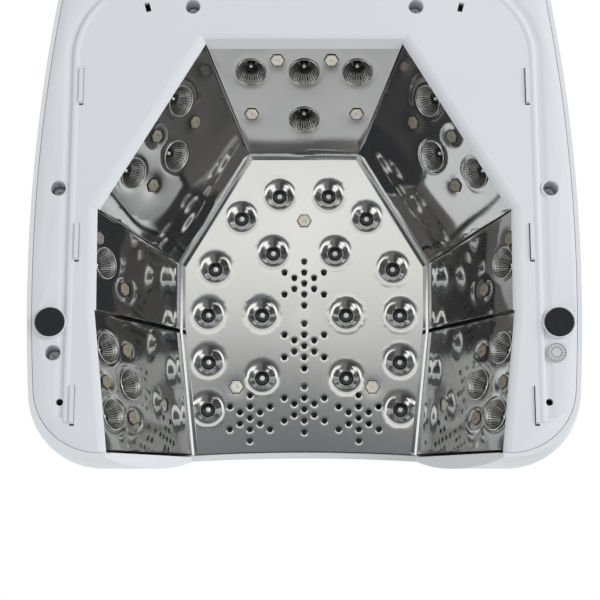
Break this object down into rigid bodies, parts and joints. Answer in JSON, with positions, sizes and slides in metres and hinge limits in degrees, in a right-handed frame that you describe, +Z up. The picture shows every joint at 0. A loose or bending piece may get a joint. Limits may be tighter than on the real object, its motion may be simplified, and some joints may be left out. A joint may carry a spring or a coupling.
{
  "type": "rechargeable nail lamp",
  "caption": "Domed white curing lamp, open underneath and in front, with mirror walls, a stamped reflector ceiling of LEDs, press buttons on top and a rocker switch behind.",
  "frame": {"origin": "centre of the footprint on the surface that the rubber feet stand on", "axes": "+Z up, hand opening towards -Y, +X to the right of someone sitting in front of the lamp"},
  "size_m": [0.232, 0.226, 0.0958],
  "materials": {
    "white_casing": "satin injection-moulded ABS",
    "white_frame": "satin injection-moulded ABS",
    "satin_steel": "satin stamped stainless sheet",
    "mirror_steel": "mirror-polished stainless sheet",
    "chrome_cup": "vacuum-metallised faceted cup",
    "led_board": "white-masked board with clear lenses and ivory rivets",
    "black_rubber": "matt moulded rubber",
    "silver_foil": "thin foil disc",
    "nickel_metal": "nickel-plated steel",
    "white_button": "smooth moulded button",
    "smoked_window": "smoked acrylic",
    "green_board": "green-masked circuit board",
    "black_plastic": "black moulded plastic",
    "grey_tray": "grey moulded plastic",
    "blue_wrap": "blue shrink wrap"
  },
  "bodies": {
    "housing": {"top_cover": "white_casing", "base_frame": "white_frame", "ceiling_reflector": "satin_steel", "ceiling_led_board": "led_board", "front_right_reflector": "mirror_steel", "front_right_cup_1": "chrome_cup", "front_right_cup_2": "chrome_cup", "front_right_cup_3": "chrome_cup", "front_right_led_board": "led_board", "side_right_reflector": "mirror_steel", "side_right_cup_1": "chrome_cup", "side_right_led_board": "led_board", "diagonal_right_reflector": "mirror_steel", "diagonal_right_cup_1": "chrome_cup", "diagonal_right_cup_2": "chrome_cup", "diagonal_right_cup_3": "chrome_cup", "diagonal_right_led_board": "led_board", "back_reflector": "mirror_steel", "back_cup_1": "chrome_cup", "back_cup_2": "chrome_cup", "back_cup_3": "chrome_cup", "back_cup_4": "chrome_cup", "back_led_board": "led_board", "diagonal_left_reflector": "mirror_steel", "diagonal_left_cup_1": "chrome_cup", "diagonal_left_cup_2": "chrome_cup", "diagonal_left_cup_3": "chrome_cup", "diagonal_left_led_board": "led_board", "side_left_reflector": "mirror_steel", "side_left_cup_1": "chrome_cup", "side_left_led_board": "led_board", "front_left_reflector": "mirror_steel", "front_left_cup_1": "chrome_cup", "front_left_cup_2": "chrome_cup", "front_left_cup_3": "chrome_cup", "front_left_led_board": "led_board", "foot_front_right": "black_rubber", "foot_front_left": "black_rubber", "foot_rear_right": "black_rubber", "foot_rear_left": "black_rubber", "seal_disc": "silver_foil", "case_screw_1": "nickel_metal", "case_screw_2": "nickel_metal", "case_screw_3": "nickel_metal", "case_screw_4": "nickel_metal", "case_screw_5": "nickel_metal", "case_screw_6": "nickel_metal", "display_window": "smoked_window", "control_board": "green_board", "switch_housing": "black_plastic", "charging_socket": "black_plastic", "battery_tray": "grey_tray", "battery_pack": "blue_wrap"},
    "timer_button_1": {"timer_button_1": "white_button"},
    "timer_button_2": {"timer_button_2": "white_button"},
    "timer_button_3": {"timer_button_3": "white_button"},
    "timer_button_4": {"timer_button_4": "white_button"},
    "power_switch": {"power_switch": "black_plastic"}
  },
  "joints": [
    {"name": "timer_button_1_press", "type": "slide", "parent": "housing", "child": "timer_button_1", "axis": [0, 0, -1], "range_m": [0, 0.0008], "stiffness_N_per_m": 900},
    {"name": "timer_button_2_press", "type": "slide", "parent": "housing", "child": "timer_button_2", "axis": [0, 0, -1], "range_m": [0, 0.0008], "stiffness_N_per_m": 900},
    {"name": "timer_button_3_press", "type": "slide", "parent": "housing", "child": "timer_button_3", "axis": [0, 0, -1], "range_m": [0, 0.0008], "stiffness_N_per_m": 900},
    {"name": "timer_button_4_press", "type": "slide", "parent": "housing", "child": "timer_button_4", "axis": [0, 0, -1], "range_m": [0, 0.0008], "stiffness_N_per_m": 900},
    {"name": "power_switch_rock", "type": "hinge", "parent": "housing", "child": "power_switch", "pos_m": [0.016, 0.10708, 0.028], "axis": [1, 0, 0], "range_deg": [0, 14]}
  ]
}
